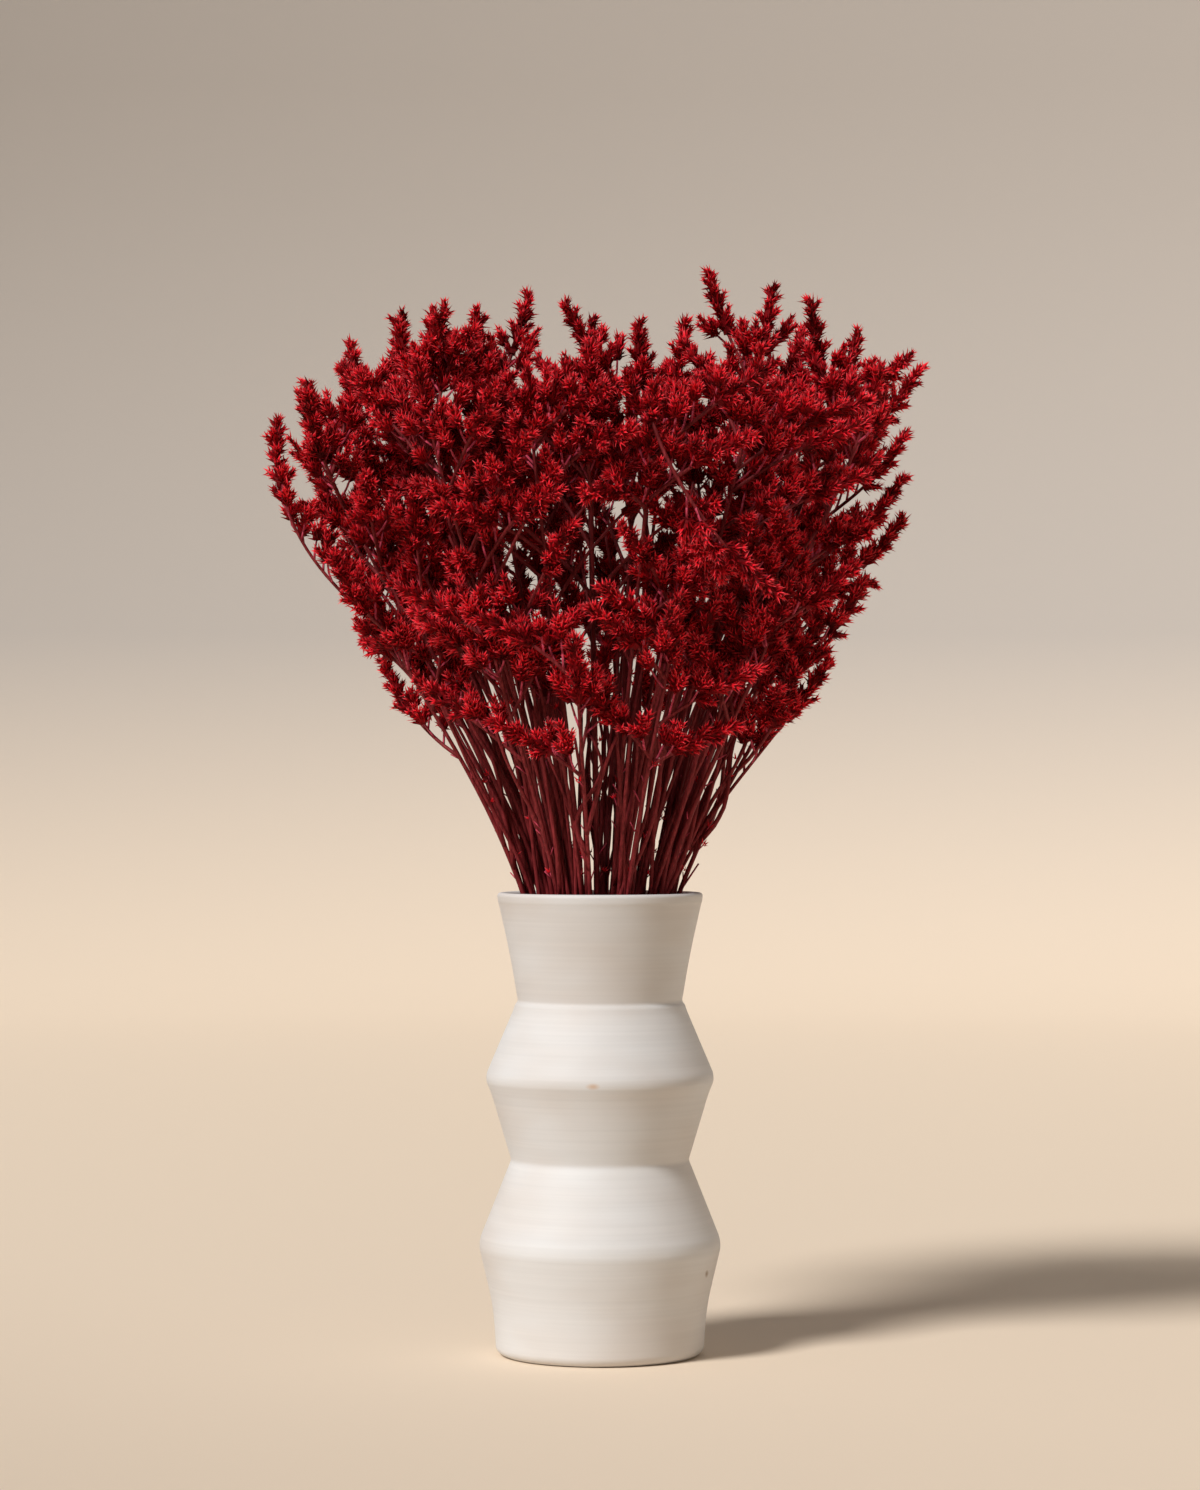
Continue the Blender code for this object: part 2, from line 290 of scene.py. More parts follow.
# %% Bisque ceramic
bisque, tree, shader = new_material("unglazed_bisque_ceramic", 0.62)
place = add_node(tree, "ShaderNodeTexCoord").outputs["Object"]
LINE_PITCH = 2.2 * MM
level = add_node(
    tree, "ShaderNodeMapping", Vector=place, Scale=(5, 5, 1 / LINE_PITCH)
).outputs["Vector"]
lines = add_node(
    tree, "ShaderNodeTexNoise", Vector=level, Scale=1.0, Detail=4.0, Roughness=0.65
).outputs["Fac"]
line_colour = ramp(tree, lines, [(0.30, "#D9D9D9"), (0.50, "#DCDCDC"), (0.70, "#DFDFDF")])
PATCH = 90 * MM
patch_place = add_node(
    tree, "ShaderNodeMapping", Vector=place, Scale=(1 / PATCH, 1 / PATCH, 2 / PATCH)
).outputs["Vector"]
patches = add_node(
    tree, "ShaderNodeTexNoise", Vector=patch_place, Scale=1.0, Detail=2.0, Roughness=0.5
).outputs["Fac"]
warmth = ramp(tree, patches, [(0.40, "#FFFFFF"), (0.75, "#F5EEE8")])
clay = add_node(
    tree, "ShaderNodeMix", {"data_type": "RGBA", "blend_type": "MULTIPLY"},
    i0=1.0, i6=line_colour, i7=warmth,
).outputs[2]
Spot = namedtuple("Spot", "middle size colour")
SPOTS = [
    Spot(Vector((-4, -66.8, 161.5)) * MM, Vector((4.6, 20, 2.2)) * MM, "#D0B8A4"),
    Spot(Vector((62, -27.5, 50)) * MM, Vector((1.4, 6, 2.8)) * MM, "#A39383"),
]
for spot in SPOTS:
    to_spot = add_node(
        tree, "ShaderNodeMapping", {"vector_type": "TEXTURE"},
        Vector=place, Location=spot.middle, Scale=spot.size,
    ).outputs["Vector"]
    near = add_node(
        tree, "ShaderNodeTexGradient", {"gradient_type": "SPHERICAL"}, Vector=to_spot
    ).outputs["Fac"]
    mask = add_node(tree, "ShaderNodeMapRange", Value=near, i1=0.0, i2=0.8).outputs["Result"]
    clay = add_node(
        tree, "ShaderNodeMix", {"data_type": "RGBA"}, i0=mask, i6=clay, i7=linear(spot.colour)
    ).outputs[2]
tree.links.new(clay, shader.inputs["Base Color"])
relief = add_node(
    tree, "ShaderNodeBump", Strength=0.16, Distance=0.2 * MM, Height=lines
).outputs["Normal"]
tree.links.new(relief, shader.inputs["Normal"])
shader.inputs["Specular IOR Level"].default_value = 0.3
print("throwing lines every", LINE_PITCH / MM, "mm")

# %% The vase
vase = add_object("turned_vase", spun(wall_line, VASE_STEPS), bisque)
vase.data.shade_smooth()
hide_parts("vase")
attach(vase, "root")
print("vase", len(vase.data.polygons), "faces")

# %% [markdown]
# ## The stems
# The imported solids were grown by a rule: every stem has a direction and a reach, and its
# branches take the next free direction round it. The same rule, with the same seed, gives the
# same stems here, so each fine spray stands where its solid stands. A stem is written by where
# its tip is, seen from the middle of the mouth. Azimuth and lean are in degrees, reach is in
# millimetres, and rise tells whether its branches turn up or droop.

# %% Stems
SEED = 8
Stem = namedtuple("Stem", "azimuth lean reach rise")
CROWN = [
    Stem(0, 4, 338, 0.6), Stem(176, 12, 352, 0.9), Stem(4, 16, 372, 0.9),
    Stem(95, 15, 345, 0.5), Stem(266, 15, 326, -0.2),
]
TALL_RING = [
    Stem(160, 26, 368, 0.9), Stem(184, 31, 342, 1.0), Stem(203, 21, 356, 0.7),
    Stem(228, 27, 338, 0.3), Stem(250, 22, 322, -0.3), Stem(283, 25, 318, -0.7),
    Stem(311, 24, 340, 0.1), Stem(344, 29, 350, 0.2), Stem(8, 25, 368, 0.8),
    Stem(36, 28, 350, 0.6), Stem(72, 23, 350, 0.6), Stem(118, 25, 350, 0.6),
]
LOW_RING = [
    Stem(192, 37, 228, 0.9), Stem(236, 35, 212, 0.2), Stem(263, 38, 186, 0.1),
    Stem(291, 36, 210, 0.1), Stem(325, 36, 226, 0.5), Stem(352, 38, 212, 1.0),
    Stem(20, 34, 260, 0.9), Stem(85, 35, 222, 0.6), Stem(140, 37, 230, 0.7),
]
STEMS = [*CROWN, *TALL_RING, *LOW_RING]
MOUTH_SPREAD = 47 * MM  # how far from the axis the outermost stem crosses the rim
WIDEST_LEAN = 38
MOUTH_POWER = 0.75
FOOT_SPREAD = 0.74
FOOT_TWIST = math.radians(-30)
FLOOR_GAP = 0.7 * MM
LEAN_AT_MOUTH = 0.55
LEAN_AT_TIP = 0.5
HANDLES_INSIDE = (0.35, 0.25)
HANDLES_ABOVE = (0.4, 0.3)
POINTS_INSIDE = 12
POINTS_ABOVE = 24


def polar(radius, azimuth, height):
    return Vector((radius * math.cos(azimuth), radius * math.sin(azimuth), height))


def leaning(azimuth, lean):
    """The unit vector that leans so far from the vertical towards an azimuth."""
    return polar(math.sin(lean), azimuth, math.cos(lean))


def stem_path(stem):
    """Points from the cut end on the vase's floor, through the mouth, to the tip."""
    azimuth, lean, reach = math.radians(stem.azimuth), math.radians(stem.lean), stem.reach * MM
    across = MOUTH_SPREAD * (stem.lean / WIDEST_LEAN) ** MOUTH_POWER
    foot = polar(across * FOOT_SPREAD, azimuth + FOOT_TWIST, WALL + FLOOR_GAP)
    mouth = polar(across, azimuth, VASE_HEIGHT)
    tip = UP * VASE_HEIGHT + leaning(azimuth, lean) * reach
    leaving = leaning(azimuth, LEAN_AT_MOUTH * lean)
    arriving = leaning(azimuth, LEAN_AT_TIP * lean)
    up, down = UP * HANDLES_INSIDE[0] * VASE_HEIGHT, leaving * HANDLES_INSIDE[1] * VASE_HEIGHT
    inside = interpolate_bezier(foot, foot + up, mouth - down, mouth, POINTS_INSIDE)
    out, back = leaving * HANDLES_ABOVE[0] * reach, arriving * HANDLES_ABOVE[1] * reach
    above = interpolate_bezier(mouth, mouth + out, tip - back, tip, POINTS_ABOVE)
    return inside[:-1] + above


print(len(STEMS), "stems, tallest tip at", max(stem_path(s)[-1].z for s in STEMS))

# %% [markdown]
# A shoot is one tube of the plant: its points, its radius at each and how far it reaches
# there with what grows on it. The last points of a branch carry its plume. These lengths are
# the solids' own.

# %% Shoots
CORE_RADII = [4.2 * MM, 5.2 * MM, 5.0 * MM, 4.2 * MM, 2.6 * MM, 0.7 * MM]
PLUME_REACHES = [7 * MM, 13 * MM, 13.5 * MM, 13 * MM, 11 * MM, 7.5 * MM]
STEM_RADIUS = (2.1 * MM, 1.3 * MM)
STEM_POINTS = 10
BRANCH_RADIUS = 1.25 * MM
BARE_RINGS = 3
RING_STEP = 9.5 * MM
SPREAD = math.radians(42)
DRAWN_IN = 0.7
KEPT_ALONG = 0.4
BEAD_STEP = 3.5 * MM
Shoot = namedtuple("Shoot", "points radii reaches")


def length_of(path):
    return sum((q - p).length for p, q in zip(path[:-1], path[1:]))


def resampled(path, distances):
    """The points of a path at these distances from its start, in rising order."""
    found, behind = [], 0.0
    legs = list(zip(path[:-1], path[1:]))
    for distance in distances:
        while len(legs) > 1 and behind + (legs[0][1] - legs[0][0]).length < distance:
            behind += (legs[0][1] - legs[0][0]).length
            legs.pop(0)
        start, end = legs[0]
        found.append(start.lerp(end, min(1.0, (distance - behind) / (end - start).length)))
    return found


def bare_shoot(points, thick, thin):
    radii = np.linspace(thick, thin, len(points)).tolist()
    return Shoot(points, radii, radii)


def plumed_shoot(points):
    """Bare wood, then a plume."""
    bare = [BRANCH_RADIUS] * (len(points) - len(CORE_RADII))
    return Shoot(points, bare + CORE_RADII, bare + PLUME_REACHES)


def wood_and_crest(stem):
    """The bare stem, and the plume that ends it."""
    path = stem_path(stem)
    plume_at = length_of(path) - RING_STEP * (len(CORE_RADII) - 1)
    wood = resampled(path, np.linspace(0, plume_at + RING_STEP / 2, STEM_POINTS))
    crest = resampled(path, [plume_at + RING_STEP * k for k in range(-1, len(CORE_RADII))])
    return bare_shoot(wood, *STEM_RADIUS), plumed_shoot(crest)


def branch(root, along, outward, bare, rise):
    """A branch that leaves its stem outwards, and turns up, or droops, as it grows."""
    heading = along * math.cos(SPREAD) + outward * math.sin(SPREAD)
    goal = (outward * (1 - DRAWN_IN * max(rise, 0)) + UP * rise + along * KEPT_ALONG).normalized()
    steps = [bare / BARE_RINGS] * BARE_RINGS + [RING_STEP] * (len(CORE_RADII) - 1)
    points = [root]
    for k, step in enumerate(steps):
        points.append(points[-1] + heading.slerp(goal, k / len(steps)) * step)
    return plumed_shoot(points)


print("a crest has", len(wood_and_crest(STEMS[0])[1].points), "points")

# %% [markdown]
# Branches grow in turns, so that every stem gets its share. Each new one is tested as a string
# of balls against the balls of all other stems. If it would touch one, or leave the fan that
# the bunch fills, it is turned about its stem or made shorter.

# %% Growing the branches
GOLDEN_ANGLE = math.radians(137.5)
TALL = 280 * MM
BRANCHES = (4, 5)
BARE_LENGTH = (34 * MM, 72 * MM)
BARE_LEAST = 0.4
FIRST_BRANCH, LAST_BRANCH = 0.44, 0.84
PLACE_VARIES = 0.02
ANGLE_VARIES = 0.6
CLEARANCE = 0.6 * MM
FAN_MOUTH = 78 * MM
FAN_SLOPE = 0.47
FAN_WIDEST = 190 * MM
FAN_FLATTENED = 1.15
TURNED_BY = [math.radians(a) for a in (0, 25, -25, 50, -50, 80, -80, 110, -110, 140, -140, 170, -170)]
SHORTENED_TO = (1.0, 0.75, 0.5, 0.3)


def beads(shoot):
    """Balls strung closely along a shoot: rows of x, y, z and radius."""
    rows = []
    ends = [(*p, r) for p, r in zip(shoot.points, shoot.reaches)]
    for a, b in zip(np.array(ends[:-1]), np.array(ends[1:])):
        count = max(1, round(np.linalg.norm(b[:3] - a[:3]) / BEAD_STEP))
        rows.append(a + (b - a) * np.linspace(0, 1, count, endpoint=False)[:, None])
    return np.concatenate([*rows, [ends[-1]]])


def has_room(shoot, others):
    """Whether a shoot clears all these balls."""
    own = beads(shoot)
    apart = np.linalg.norm(own[:, None, :3] - others[None, :, :3], axis=2)
    return bool((apart > own[:, None, 3] + others[None, :, 3] + CLEARANCE).all())


def in_bunch(shoot):
    """Whether a shoot stays in the fan that the bunch fills above the vase."""
    for point, reach in zip(shoot.points, shoot.reaches):
        above_rim = point.z - VASE_HEIGHT
        across = math.hypot(point.x, point.y * FAN_FLATTENED)
        if above_rim < reach + CLEARANCE or across > min(FAN_WIDEST, FAN_MOUTH + FAN_SLOPE * above_rim):
            return False
    return True


def grown():
    """Every stem's shoots, wood first."""
    draw = random.Random(SEED)
    sprays = [list(wood_and_crest(stem)) for stem in STEMS]
    filled = [[beads(shoot) for shoot in spray] for spray in sprays]
    first_angle = [draw.uniform(-ANGLE_VARIES, ANGLE_VARIES) for _ in STEMS]
    for level in range(max(BRANCHES)):
        for number, stem in enumerate(STEMS):
            tall = stem.reach * MM > TALL
            if level >= BRANCHES[tall]:
                continue
            share = level / (BRANCHES[tall] - 1)
            path = stem_path(stem)[POINTS_INSIDE - 1 :]
            up_stem = FIRST_BRANCH + (LAST_BRANCH - FIRST_BRANCH) * share
            up_stem += draw.uniform(-PLACE_VARIES, PLACE_VARIES)
            root, beyond = resampled(path, [length_of(path) * up_stem, length_of(path) * up_stem + MM])
            along = (beyond - root).normalized()
            away = polar(1, math.radians(stem.azimuth), 0)
            away = (away - along * away.dot(along)).normalized()
            bare = BARE_LENGTH[tall] * (1 + (BARE_LEAST - 1) * share)
            angle = first_angle[number] + GOLDEN_ANGLE * level
            others = np.concatenate([b for n, own in enumerate(filled) if n != number for b in own])
            for shortened in SHORTENED_TO:
                for turned in TURNED_BY:
                    outward = Matrix.Rotation(angle + turned, 3, along) @ away
                    shoot = branch(root, along, outward, bare * shortened, stem.rise)
                    if in_bunch(shoot) and has_room(shoot, others):
                        break
                else:
                    continue
                sprays[number].append(shoot)
                filled[number].append(beads(shoot))
                break
    return sprays


sprays = grown()
print(sum(len(spray) - 1 for spray in sprays), "plumes")

# %% [markdown]
# ## Small shapes to repeat
# Everything small is a stamped copy of a few tiny meshes. A thorn is a three-sided cone, flat
# like a dry bract. A tuft is a ring of thorns that spread and lean forward, as the bracts do
# round a flower. A twig is one tapering length of wood, and a core is the closed body of
# bracts that fills the middle of a finger. Each vertex of a thorn also keeps how near it is to
# the tip, which colours it later.

# %% Thorns, tufts, twigs and cores
THORN_LENGTH = 5.8 * MM
THORN_RADIUS = 1.15 * MM
THORN_ROOT = 1.4 * MM  # from the middle of the finger
THORN_FLATNESS = 0.55
TUFT_THORNS = 5
# Root and tip tones of a tuft's thorns: one pair for the outer tufts, and a darker pair that is painted shade
# at each finger's root and deep in the bunch.
OUTER_TONES, PAINTED_SHADE_TONES = (0.46, 1.0), (0.10, 0.45)
Stamp = namedtuple("Stamp", "mesh corners")
WOOD, BRACT = 0, 1


def as_stamp(name, bm, material_index):
    for face in bm.faces:
        face.material_index = material_index
        face.smooth = material_index == WOOD
    mesh = bpy.data.meshes.new(name)
    bm.to_mesh(mesh)
    bm.free()
    return Stamp(mesh, np.array([v.co for v in mesh.vertices]))


def tuft(draw, shades):
    """A ring of thorns that lean out by turns less and more. Shades are its root's and its tips'."""
    bm = bmesh.new()
    tip = bm.verts.layers.float.new("tip")
    for k in range(TUFT_THORNS):
        length = THORN_LENGTH * draw.uniform(0.7, 1.1)
        bright = shades[1] * draw.uniform(0.8, 1.0)
        new = bmesh.ops.create_cone(
            bm, cap_ends=True, segments=3, radius1=THORN_RADIUS, radius2=0, depth=length
        )["verts"]
        for v in new:
            v[tip] = bright if v.co.z > 0 else shades[0]
        lean = math.radians(draw.uniform(12, 26) if k % 2 else draw.uniform(34, 54))
        place = (
            Matrix.Rotation(math.tau * k / TUFT_THORNS + draw.uniform(-0.3, 0.3), 4, "Z")
            @ Matrix.Translation((THORN_ROOT, 0, 0))
            @ Matrix.Rotation(lean, 4, "Y")
            @ Matrix.Translation((0, 0, length / 2))
            @ Matrix.Diagonal((THORN_FLATNESS, 1, 1, 1))
        )
        bmesh.ops.transform(bm, matrix=place, verts=new)
    return as_stamp("tuft", bm, BRACT)


def cone_stamp(name, sides, thin, material_index, tip_value):
    """A cone one unit long and thick, to be scaled."""
    bm = bmesh.new()
    tip = bm.verts.layers.float.new("tip")
    bmesh.ops.create_cone(bm, cap_ends=True, segments=sides, radius1=1.0, radius2=thin, depth=1.0)
    bmesh.ops.translate(bm, verts=bm.verts, vec=(0, 0, 0.5))
    for v in bm.verts:
        v[tip] = tip_value
    return as_stamp(name, bm, material_index)


def stamp(bm, shape, place):
    """Adds a copy of a small mesh at a place."""
    turned = shape.corners @ np.array(place.to_3x3()).T + np.array(place.translation)
    shape.mesh.vertices.foreach_set("co", turned.ravel())
    bm.from_mesh(shape.mesh)


stamp_draw = random.Random(SEED)
TUFTS = [tuft(stamp_draw, OUTER_TONES) for _ in range(5)]
# Darker tufts: painted shade for the roots of the fingers and the inside of the bunch.
PAINTED_SHADE_TUFTS = [tuft(stamp_draw, PAINTED_SHADE_TONES) for _ in range(5)]
TWIG = cone_stamp("twig", 3, 0.8, WOOD, 1.0)
# The cores' low tip value makes them nearly black red: painted shade in the middle of each finger.
CORE = cone_stamp("core", 4, 0.4, BRACT, 0.12)
print(len(TUFTS[0].mesh.polygons), "faces in a tuft")

# %% [markdown]
# ## Combs of bracts
# A finger is a core with tufts along it. A side twig is bare for half its length, bends up, and
# ends in a head, a little fan of fingers. A branch is a comb: its side twigs stand on its upper
# side, one to the left and one to the right by turns, so its outer side stays bare, and short
# fingers stand all round its end. A branch that stands upright has no upper side, so its twigs
# go further round.

# %% Fingers
TUFT_STEP = 2.8 * MM
# These mark the tufts that are painted darker, as shade: a share of each finger from its root, and the inside
# of the fan below a height.
PAINTED_SHADE_SHARE = 0.35  # of a finger, from its root
DEEP_SHARE = 0.62  # of the fan that the bunch fills
DEEP_BELOW = 560 * MM
TWIG_RADIUS = 0.8 * MM
CORE_RADIUS = 2.5 * MM


def placed(point, heading, roll, size):
    """The matrix that stands a small mesh on a point, along a heading."""
    turn = heading.to_track_quat("Z", "Y").to_matrix().to_4x4()
    return Matrix.Translation(point) @ turn @ Matrix.Rotation(roll, 4, "Z") @ Matrix.Scale(size, 4)


def add_length(bm, shape, start, end, radius):
    """A twig or a core from one point to another."""
    heading = end - start
    scale = Matrix.Diagonal((radius, radius, heading.length, 1))
    stamp(bm, shape, placed(start, heading, 0, 1) @ scale)


def is_deep(point):
    """Whether a point lies inside the bunch, where the bracts are painted darker, as shade."""
    fan = FAN_MOUTH + FAN_SLOPE * (point.z - VASE_HEIGHT)
    return point.z < DEEP_BELOW and math.hypot(point.x, point.y * FAN_FLATTENED) < DEEP_SHARE * fan


def add_tufts(bm, start, end, draw, size=1.0):
    """Tufts on a straight finger, smaller towards its end."""
    heading = end - start
    count = max(1, round(heading.length / (TUFT_STEP * size)))
    for k in range(count + 1):
        small = size * (1.05 - 0.35 * k / count) * draw.uniform(0.85, 1.15)
        point = start.lerp(end, (k + draw.uniform(-0.3, 0.3)) / (count + 0.3))
        # Tufts at a finger's root or deep in the bunch take the darker tones, as painted shade.
        kinds = PAINTED_SHADE_TUFTS if k < PAINTED_SHADE_SHARE * count or is_deep(point) else TUFTS
        stamp(bm, draw.choice(kinds), placed(point, heading, draw.uniform(0, math.tau), small))


def add_finger(bm, root, heading, length, draw, size=1.0):
    """A core wrapped in tufts."""
    end = root + heading * length
    add_length(bm, CORE, root, end, CORE_RADIUS * size)
    add_tufts(bm, root, end, draw, size)


# %% Side twigs
TWIG_STEP = 7.5 * MM
TWIG_LENGTH = (36 * MM, 22 * MM)  # near the root of a plume and near its end
TWIG_BARE = 0.48  # of its length
TWIG_ANGLE = math.radians(44)
FORK_ANGLE = (0.45, 0.8)  # how far the outer fingers of a head splay
FINGERS = (0.5, 0.36, 0.36, 0.3)  # of the twig's length


def add_side_twig(bm, root, along, side, length, draw, up=UP):
    """A bare twig that bends up, and the head of four fingers that ends it."""
    leaving = (along * math.cos(TWIG_ANGLE) + side * math.sin(TWIG_ANGLE)).normalized()
    goal = (side * 0.5 + up * 0.7 + along * 0.7).normalized()
    bend = root + leaving * length * TWIG_BARE * 0.5
    heading = leaving.slerp(goal, 0.35)
    fork = bend + heading * length * TWIG_BARE * 0.5
    add_length(bm, TWIG, root, bend, TWIG_RADIUS * 1.15)
    add_length(bm, TWIG, bend, fork, TWIG_RADIUS)
    heading = leaving.slerp(goal, 0.6)
    across = heading.cross(side).normalized()
    splay = [heading * 0.0] + [across * sign * draw.uniform(*FORK_ANGLE) for sign in (-1, 1)]
    splay.append(side * draw.uniform(0.3, 0.6) + across * draw.uniform(-0.2, 0.2))
    for lean, share in zip(splay, FINGERS):
        turned = (heading + lean + side * draw.uniform(-0.15, 0.15)).normalized()
        add_finger(bm, fork, turned, length * share * draw.uniform(0.85, 1.15), draw)


# %% Combs
END_LENGTH = 40 * MM
END_CORE_RADIUS = 3.4 * MM
END_FINGER_STEP = 3.4 * MM
END_FINGER = (11 * MM, 5 * MM)
SIDE_SWING = math.radians(72)
UPRIGHT_SWING = math.radians(90)
NEAR_ZERO = 0.05


def upper_side(along, root, up=UP):
    """The direction square to a twig that points up, or outwards where the twig is upright."""
    want = up + Vector((root.x, root.y, 0)).normalized() * NEAR_ZERO
    return (want - along * want.dot(along)).normalized()


def add_brush(bm, points, end_at, draw):
    """Short fingers all round the end of a branch."""
    length = length_of(points)
    angle = draw.uniform(0, math.tau)
    distance = end_at
    while distance < length - 2 * MM:
        root, beyond = resampled(points, [distance, distance + 0.5 * MM])
        along = (beyond - root).normalized()
        share = (distance - end_at) / (length - end_at)
        side = Matrix.Rotation(angle, 3, along) @ upper_side(along, root)
        heading = (along + side * draw.uniform(0.7, 1.1)).normalized()
        long = END_FINGER[0] + (END_FINGER[1] - END_FINGER[0]) * share
        add_finger(bm, root, heading, long * draw.uniform(0.8, 1.2), draw)
        angle += GOLDEN_ANGLE
        distance += END_FINGER_STEP
    start, middle = resampled(points, [end_at, (length + end_at) / 2])
    add_length(bm, CORE, start, middle, END_CORE_RADIUS * 0.8)
    add_length(bm, CORE, middle, points[-1], END_CORE_RADIUS)
    add_tufts(bm, middle, points[-1], draw, 1.1)


def add_comb(bm, points, first, draw, up=UP):
    """Side twigs along a branch from a distance on, and the brush that ends it."""
    length = length_of(points)
    end_at = max(0.0, length - END_LENGTH)
    distance, sign = first, draw.choice((-1, 1))
    while distance < end_at:
        root, beyond = resampled(points, [distance, distance + MM])
        along = (beyond - root).normalized()
        swing = SIDE_SWING + UPRIGHT_SWING * max(0.0, along.z) ** 4
        turn = Matrix.Rotation(sign * swing * draw.uniform(0.2, 1.0), 3, along)
        side = turn @ upper_side(along, root, up)
        share = (distance - first) / max(end_at - first, MM)
        long = TWIG_LENGTH[0] + (TWIG_LENGTH[1] - TWIG_LENGTH[0]) * share
        if not in_hollow(root):
            add_side_twig(bm, root, along, side, long * draw.uniform(0.8, 1.15), draw, up)
        sign = -sign
        distance += TWIG_STEP * draw.uniform(0.8, 1.2)
    add_brush(bm, points, end_at, draw)


print("a comb has a side twig every", TWIG_STEP / MM, "mm")

# %% [markdown]
# ## Wood
# Stems and branches are swept tubes: a small disc is extruded ring by ring along the path, and
# every new ring is turned to the path's heading. Small spurs stay where lower leaves dried off.

# %% Tubes
STEM_SIDES = 8
BRANCH_SIDES = 6
STEM_RING_STEP = 12 * MM
BRANCH_RING_STEP = 6 * MM
SPUR_STEP = (9 * MM, 22 * MM)
PLUMED_FORKS = 2
BARE_FORKS = 4
FORK_PLACE = (-110 * MM, 40 * MM)  # above the rim
FORK_ENDS = (0.5, 0.7)  # share of the stem's reach
FORK_POINTS = 9
FORK_TRIES = 30
FORK_REACH = (10 * MM, 30 * MM)  # away from the stem
FORK_BEND = 9 * MM
FORK_FAN = 0.8  # of the fan that the bunch fills
NECK_ROOM = 51 * MM
FORK_RADIUS = (1.6 * MM, 0.9 * MM)
HOLLOW = Vector((-6 * MM, 20 * MM, 460 * MM))  # its middle, and its back
HOLLOW_SIZE = Vector((52 * MM, 0.0, 38 * MM))


def swept(points, radii, sides):
    """A closed tube along a path."""
    bm = bmesh.new()
    bm.verts.layers.float.new("tip")
    bmesh.ops.create_circle(bm, cap_ends=True, segments=sides, radius=1.0)
    cap = bm.faces[:][0]
    headings = [(q - p).normalized() for p, q in zip(points[:-1], points[1:])]
    headings = [headings[0]] + [
        (a + b).normalized() for a, b in zip(headings[:-1], headings[1:])
    ] + [headings[-1]]
    turn = UP.rotation_difference(headings[0]).to_matrix().to_4x4()
    place = Matrix.Translation(points[0]) @ turn @ Matrix.Scale(radii[0], 4)
    bmesh.ops.transform(bm, matrix=place, verts=cap.verts)
    for k in range(1, len(points)):
        cap = bmesh.ops.extrude_discrete_faces(bm, faces=[cap])["faces"][0]
        turn = headings[k - 1].rotation_difference(headings[k]).to_matrix().to_4x4()
        place = (
            Matrix.Translation(points[k]) @ turn
            @ Matrix.Scale(radii[k] / radii[k - 1], 4) @ Matrix.Translation(-points[k - 1])
        )
        bmesh.ops.transform(bm, matrix=place, verts=cap.verts)
    bmesh.ops.holes_fill(bm, edges=bm.edges, sides=sides)
    bmesh.ops.recalc_face_normals(bm, faces=bm.faces)
    return as_stamp("tube", bm, WOOD)


def add_tube(bm, path, thick, thin, step, sides):
    """A tapering tube along a path, added to a bmesh."""
    length = length_of(path)
    count = max(3, round(length / step))
    points = resampled(path, np.linspace(0, length, count))
    tube = swept(points, np.linspace(thick, thin, count).tolist(), sides)
    bm.from_mesh(tube.mesh)
    bpy.data.meshes.remove(tube.mesh)


def add_spurs(bm, path, start, end, radius, draw):
    """Thorns that point up along the bare stem."""
    distance = start
    while distance < end:
        root, beyond = resampled(path, [distance, distance + MM])
        along = (beyond - root).normalized()
        angle = draw.uniform(0, math.tau)
        side = Matrix.Rotation(angle, 3, along) @ upper_side(along, root)
        heading = (along + side * 0.7).normalized()
        foot = root + side * radius * 0.5
        add_length(bm, TWIG, foot, foot + heading * draw.uniform(4, 9) * MM, 0.5 * MM)
        if draw.random() < 0.4:
            stamp(bm, draw.choice(TUFTS), placed(foot + heading * 6 * MM, heading, angle, 0.7))
        distance += draw.uniform(*SPUR_STEP)


def in_hollow(point):
    """Whether a point is in the bare space under the crown, where only wood shows."""
    across, above = (point.x - HOLLOW.x) / HOLLOW_SIZE.x, (point.z - HOLLOW.z) / HOLLOW_SIZE.z
    return math.hypot(across, above) < 1 and point.y < HOLLOW.y


def low_fork(path, draw):
    """The path of a thin stem that leaves the main one inside the vase or near the rim."""
    rim_at = length_of(path[:POINTS_INSIDE])
    reach = length_of(path) - rim_at
    start, end = rim_at + draw.uniform(*FORK_PLACE), rim_at + reach * draw.uniform(*FORK_ENDS)
    points = resampled(path, np.linspace(start, end, FORK_POINTS))
    along = (points[1] - points[0]).normalized()
    for _ in range(FORK_TRIES):
        side = Matrix.Rotation(draw.uniform(0, math.tau), 3, along) @ upper_side(along, points[0])
        away, bend = draw.uniform(*FORK_REACH), draw.uniform(-FORK_BEND, FORK_BEND)
        across = side.cross(along)
        fork = []
        for k, point in enumerate(points):
            share = k / (FORK_POINTS - 1)
            fork.append(point + side * away * share**1.2 + across * bend * math.sin(math.tau * share))
        narrow = all(math.hypot(p.x, p.y) < NECK_ROOM or p.z > VASE_HEIGHT + 10 * MM for p in fork)
        end = fork[-1]
        room = FORK_FAN * (FAN_MOUTH + FAN_SLOPE * (end.z - VASE_HEIGHT))
        if narrow and not in_hollow(end) and math.hypot(end.x, end.y * FAN_FLATTENED) < room:
            return fork
    return None


print("stems have", STEM_SIDES, "sides")
